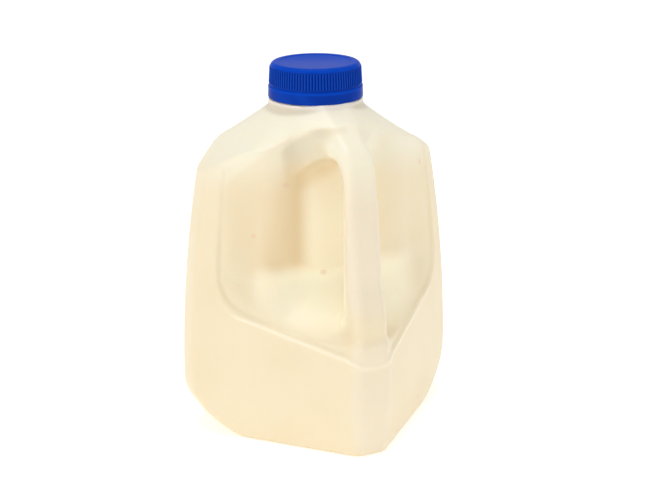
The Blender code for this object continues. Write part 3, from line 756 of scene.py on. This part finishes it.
def rib_group(material):
    """Geometry Nodes group: adds a ring of upright ribs to the mesh that comes in."""
    group = bpy.data.node_groups.new("cap_ribs", "GeometryNodeTree")
    sockets = {}
    group.interface.new_socket("Geometry", in_out="INPUT", socket_type="NodeSocketGeometry")
    for name, kind in (("Ribs", "Int"), ("Seed", "Int"), ("Ring Radius", "Float"),
                       ("Rib Radius", "Float"), ("Rib Height", "Float"), ("Middle Z", "Float"),
                       ("Lean", "Float")):
        socket = group.interface.new_socket(name, in_out="INPUT", socket_type="NodeSocket" + kind)
        sockets[name] = socket.identifier
    group.interface.new_socket("Geometry", in_out="OUTPUT", socket_type="NodeSocketGeometry")
    nodes, link = group.nodes, group.links.new
    given = nodes.new("NodeGroupInput")
    ring = nodes.new("GeometryNodeMeshCircle")
    link(given.outputs["Ribs"], ring.inputs["Vertices"])
    link(given.outputs["Ring Radius"], ring.inputs["Radius"])
    rib = nodes.new("GeometryNodeMeshCylinder")
    rib.inputs["Vertices"].default_value = RIB_SIDES
    link(given.outputs["Rib Radius"], rib.inputs["Radius"])
    link(given.outputs["Rib Height"], rib.inputs["Depth"])
    stretch = nodes.new("FunctionNodeRandomValue")
    stretch.inputs[2].default_value = RIB_SHORTEST
    stretch.inputs[3].default_value = 1.0
    link(given.outputs["Seed"], stretch.inputs["Seed"])
    size = nodes.new("ShaderNodeCombineXYZ")
    size.inputs["X"].default_value = 1.0
    size.inputs["Y"].default_value = 1.0
    link(stretch.outputs[1], size.inputs["Z"])
    inward = nodes.new("ShaderNodeVectorMath")
    inward.operation = "SCALE"
    link(nodes.new("GeometryNodeInputPosition").outputs["Position"], inward.inputs["Vector"])
    link(given.outputs["Lean"], inward.inputs["Scale"])
    upward = nodes.new("ShaderNodeVectorMath")
    upward.operation = "ADD"
    upward.inputs[1].default_value = (0.0, 0.0, 1.0)
    link(inward.outputs["Vector"], upward.inputs[0])
    lean = nodes.new("FunctionNodeAlignRotationToVector")
    link(upward.outputs["Vector"], lean.inputs["Vector"])
    place = nodes.new("GeometryNodeInstanceOnPoints")
    link(lean.outputs["Rotation"], place.inputs["Rotation"])
    link(ring.outputs["Mesh"], place.inputs["Points"])
    link(rib.outputs["Mesh"], place.inputs["Instance"])
    link(size.outputs["Vector"], place.inputs["Scale"])
    rise = nodes.new("ShaderNodeCombineXYZ")
    link(given.outputs["Middle Z"], rise.inputs["Z"])
    lift = nodes.new("GeometryNodeTransform")
    link(place.outputs["Instances"], lift.inputs["Geometry"])
    link(rise.outputs["Vector"], lift.inputs["Translation"])
    join = nodes.new("GeometryNodeJoinGeometry")
    link(lift.outputs["Geometry"], join.inputs["Geometry"])
    link(given.outputs["Geometry"], join.inputs["Geometry"])
    real = nodes.new("GeometryNodeRealizeInstances")
    link(join.outputs["Geometry"], real.inputs["Geometry"])
    paint = nodes.new("GeometryNodeSetMaterial")
    paint.inputs["Material"].default_value = material
    link(real.outputs["Geometry"], paint.inputs["Geometry"])
    link(paint.outputs["Geometry"], nodes.new("NodeGroupOutput").inputs["Geometry"])
    return group, sockets


# cap's blue: cloudy, with painted shade between the ribs and painted highlights on their crests, on the lid
# and on the band's top
CAP_BLUE, CLOUD_BLUE = (0.003, 0.034, 0.32, 1.0), (0.004, 0.048, 0.39, 1.0)
RIB_SHADE, RIB_CREST_HIGHLIGHT = (0.001, 0.024, 0.24, 1.0), (0.006, 0.060, 0.44, 1.0)
LID_AND_RIDGE_HIGHLIGHT = (0.002, 0.056, 0.48, 1.0)
BLUE_CLOUD_SCALE, BLUE_CLOUD_SPAN, LID_SHARE = 70.0, (0.35, 0.7), 0.8
RIBS_FOOT = ((RIB_LOW - 0.2) * MM, (RIB_LOW + 0.2) * MM)
RIBS_HEAD = ((RIB_HIGH + 0.2) * MM, (RIB_HIGH - 0.4) * MM)
SHADE_PROUD, CREST_PROUD, CREST_FOOT = (0.00022, 0.00004), (0.00016, 0.00028), (0.1528, 0.1533)
LID_SPAN, RIDGE_FOOT, RIDGE_HEAD = (0.1600, 0.1612), (0.1507, 0.1517), (0.1526, 0.1523)
CAP_ROUGHNESS, CAP_SPECULAR, CAP_GRAIN, CAP_GRAIN_DEPTH = 0.30, 0.02, 1500.0, 0.00004


def cap_material():
    """Moulded polypropylene, slightly cloudy, with a fine satin grain; painted shade between its ribs and
    painted highlights on their crests, the lid and the band's top.
    """
    material, tree, shader, place = start_material("blue_polypropylene", CAP_ROUGHNESS)
    cloud = fade(tree, grain(tree, place, BLUE_CLOUD_SCALE), BLUE_CLOUD_SPAN)
    colour = tint(tree, CAP_BLUE, CLOUD_BLUE, cloud)
    z = project(tree, place, (0.0, 0.0, 1.0))
    from_axis = distance(tree, project(tree, place, (1.0, 0.0, 0.0)),
                         project(tree, place, (0.0, 1.0, 0.0)))
    drawn_in = product(tree, calculate(tree, "SUBTRACT", z, GROOVE_Z * MM), SKIRT_TAPER)
    proud = calculate(tree, "SUBTRACT", calculate(tree, "ADD", from_axis, drawn_in), SKIRT_RADIUS * MM)
    # painted shade between the ribs and painted highlight on their crests
    between_ribs = mask(tree, (z, RIBS_FOOT), (z, RIBS_HEAD), (proud, SHADE_PROUD))
    colour = tint(tree, colour, RIB_SHADE, between_ribs)
    colour = tint(tree, colour, RIB_CREST_HIGHLIGHT, mask(tree, (proud, CREST_PROUD), (z, CREST_FOOT)))
    # painted highlight on the lid and on the ridge at the band's top
    lid = product(tree, fade(tree, z, LID_SPAN), LID_SHARE)
    ridge = mask(tree, (z, RIDGE_FOOT), (z, RIDGE_HEAD))
    colour = tint(tree, colour, LID_AND_RIDGE_HIGHLIGHT, calculate(tree, "MAXIMUM", lid, ridge))
    tree.links.new(colour, shader.inputs["Base Color"])
    shader.inputs["Specular IOR Level"].default_value = CAP_SPECULAR
    roughen(tree, shader, grain(tree, place, CAP_GRAIN), CAP_GRAIN_DEPTH)
    return material


outline = cap_profile()
cap_mesh = bpy.data.meshes.new("screw_cap")
cap_mesh.from_pydata([(r * MM, 0.0, z * MM) for r, z in outline],
                     [(i, i + 1) for i in range(len(outline) - 1)], [])
cap = bpy.data.objects.new("screw_cap", cap_mesh)
bpy.context.scene.collection.objects.link(cap)
turning = cap.modifiers.new("turning", "SCREW")
turning.steps = CAP_STEPS
turning.render_steps = CAP_STEPS
turning.use_merge_vertices = True
turning.merge_threshold = 0.00001
ribs, rib_sockets = rib_group(cap_material())
ring_radius = (0.5 * (SKIRT_RADIUS + SKIRT_TOP_RADIUS) - RIB_RADIUS + RIB_STANDOFF) * MM
ribbing = cap.modifiers.new("ribs", "NODES")
ribbing.node_group = ribs
for name, value in (("Ribs", RIB_COUNT), ("Seed", RIB_SEED), ("Ring Radius", ring_radius),
                    ("Rib Radius", RIB_RADIUS * MM), ("Rib Height", (RIB_HIGH - RIB_LOW) * MM),
                    ("Middle Z", 0.5 * (RIB_HIGH + RIB_LOW) * MM), ("Lean", -SKIRT_TAPER / ring_radius)):
    ribbing[rib_sockets[name]] = value
turned = bpy.data.meshes.new_from_object(cap.evaluated_get(bpy.context.evaluated_depsgraph_get()))
cap.modifiers.clear()
cap.data = turned
cap.data.shade_smooth()
cap.data.set_sharp_from_angle(angle=CAP_SHARP_ANGLE)
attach(cap, "root")
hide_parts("cap")


# ---- Stage ------------------------------------------------------------------------------------
# White floor, even white surroundings and three large soft lights.

WHITE = (1.0, 1.0, 1.0, 1.0)
PAPER, PAPER_SHADE = (0.97, 0.97, 0.97, 1.0), (0.95, 0.95, 0.95, 1.0)
PAPER_GLOW, PAPER_ROUGHNESS, PAPER_CLOUD = 0.34, 0.9, 8.0
FLOOR_SIZE, WORLD_STRENGTH = 30.0, 0.62
LIGHT_AIM = Vector((0.0, 0.0, 0.09))
SOFT_LIGHTS = (("overhead", (-0.1, 0.0, 1.2), 0.6, 5.0),           # name, place, size, watts
               ("right", (1.0, 0.1, 0.35), 0.5, 1.1),
               ("front_left", (-0.35, -1.05, 0.4), 0.5, 2.4))

bpy.ops.mesh.primitive_plane_add(size=FLOOR_SIZE, location=(0.0, 0.0, 0.0))
floor = bpy.context.active_object
floor.name = "pale_floor"
paper, paper_tree, paper_shader, paper_place = start_material("white_paper", PAPER_ROUGHNESS)
paper_colour = tint(paper_tree, PAPER, PAPER_SHADE, grain(paper_tree, paper_place, PAPER_CLOUD))
paper_tree.links.new(paper_colour, paper_shader.inputs["Base Color"])
paper_shader.inputs["Emission Color"].default_value = WHITE
paper_shader.inputs["Emission Strength"].default_value = PAPER_GLOW
floor.data.materials.append(paper)

world = bpy.data.worlds.new("soft_white")
world.use_nodes = True
background = world.node_tree.nodes["Background"]
background.inputs["Color"].default_value = WHITE
background.inputs["Strength"].default_value = WORLD_STRENGTH
bpy.context.scene.world = world

for name, place, size, watts in SOFT_LIGHTS:
    light_data = bpy.data.lights.new(name, "AREA")
    light_data.shape = "SQUARE"
    light_data.size = size
    light_data.energy = watts
    light = bpy.data.objects.new(name, light_data)
    light.location = place
    light.rotation_euler = (LIGHT_AIM - Vector(place)).to_track_quat("-Z", "Y").to_euler()
    bpy.context.scene.collection.objects.link(light)

CAMERA_AZIMUTH, CAMERA_ELEVATION, CAMERA_ROLL = 22.15, 17.8, -0.37
CAMERA_DISTANCE, CAMERA_AIM_Z = 0.650, 0.085
FRAME_WIDTH_PX, FOCAL_PX, SENSOR_WIDTH = 650.0, 1443.0, 36.0
CENTRE_PX, FRAME_CENTRE_PX = (316.45, 230.3), (325.0, 249.5)
azimuth, elevation = math.radians(CAMERA_AZIMUTH), math.radians(CAMERA_ELEVATION)
back = Vector((math.sin(azimuth) * math.cos(elevation), -math.cos(azimuth) * math.cos(elevation),
               math.sin(elevation)))
camera_data = bpy.data.cameras.new("camera")
camera_data.sensor_width = SENSOR_WIDTH
camera_data.lens = FOCAL_PX * SENSOR_WIDTH / FRAME_WIDTH_PX
camera_data.shift_x = (FRAME_CENTRE_PX[0] - CENTRE_PX[0]) / FRAME_WIDTH_PX
camera_data.shift_y = (CENTRE_PX[1] - FRAME_CENTRE_PX[1]) / FRAME_WIDTH_PX
camera = bpy.data.objects.new("camera", camera_data)
camera.location = Vector((0.0, 0.0, CAMERA_AIM_Z)) + back * CAMERA_DISTANCE
turn = back.to_track_quat("Z", "Y").to_matrix().to_4x4()
camera.rotation_euler = (turn @ Matrix.Rotation(math.radians(CAMERA_ROLL), 4, "Z")).to_euler()
bpy.context.scene.collection.objects.link(camera)
bpy.context.scene.camera = camera
bpy.context.scene.view_settings.view_transform = "Standard"
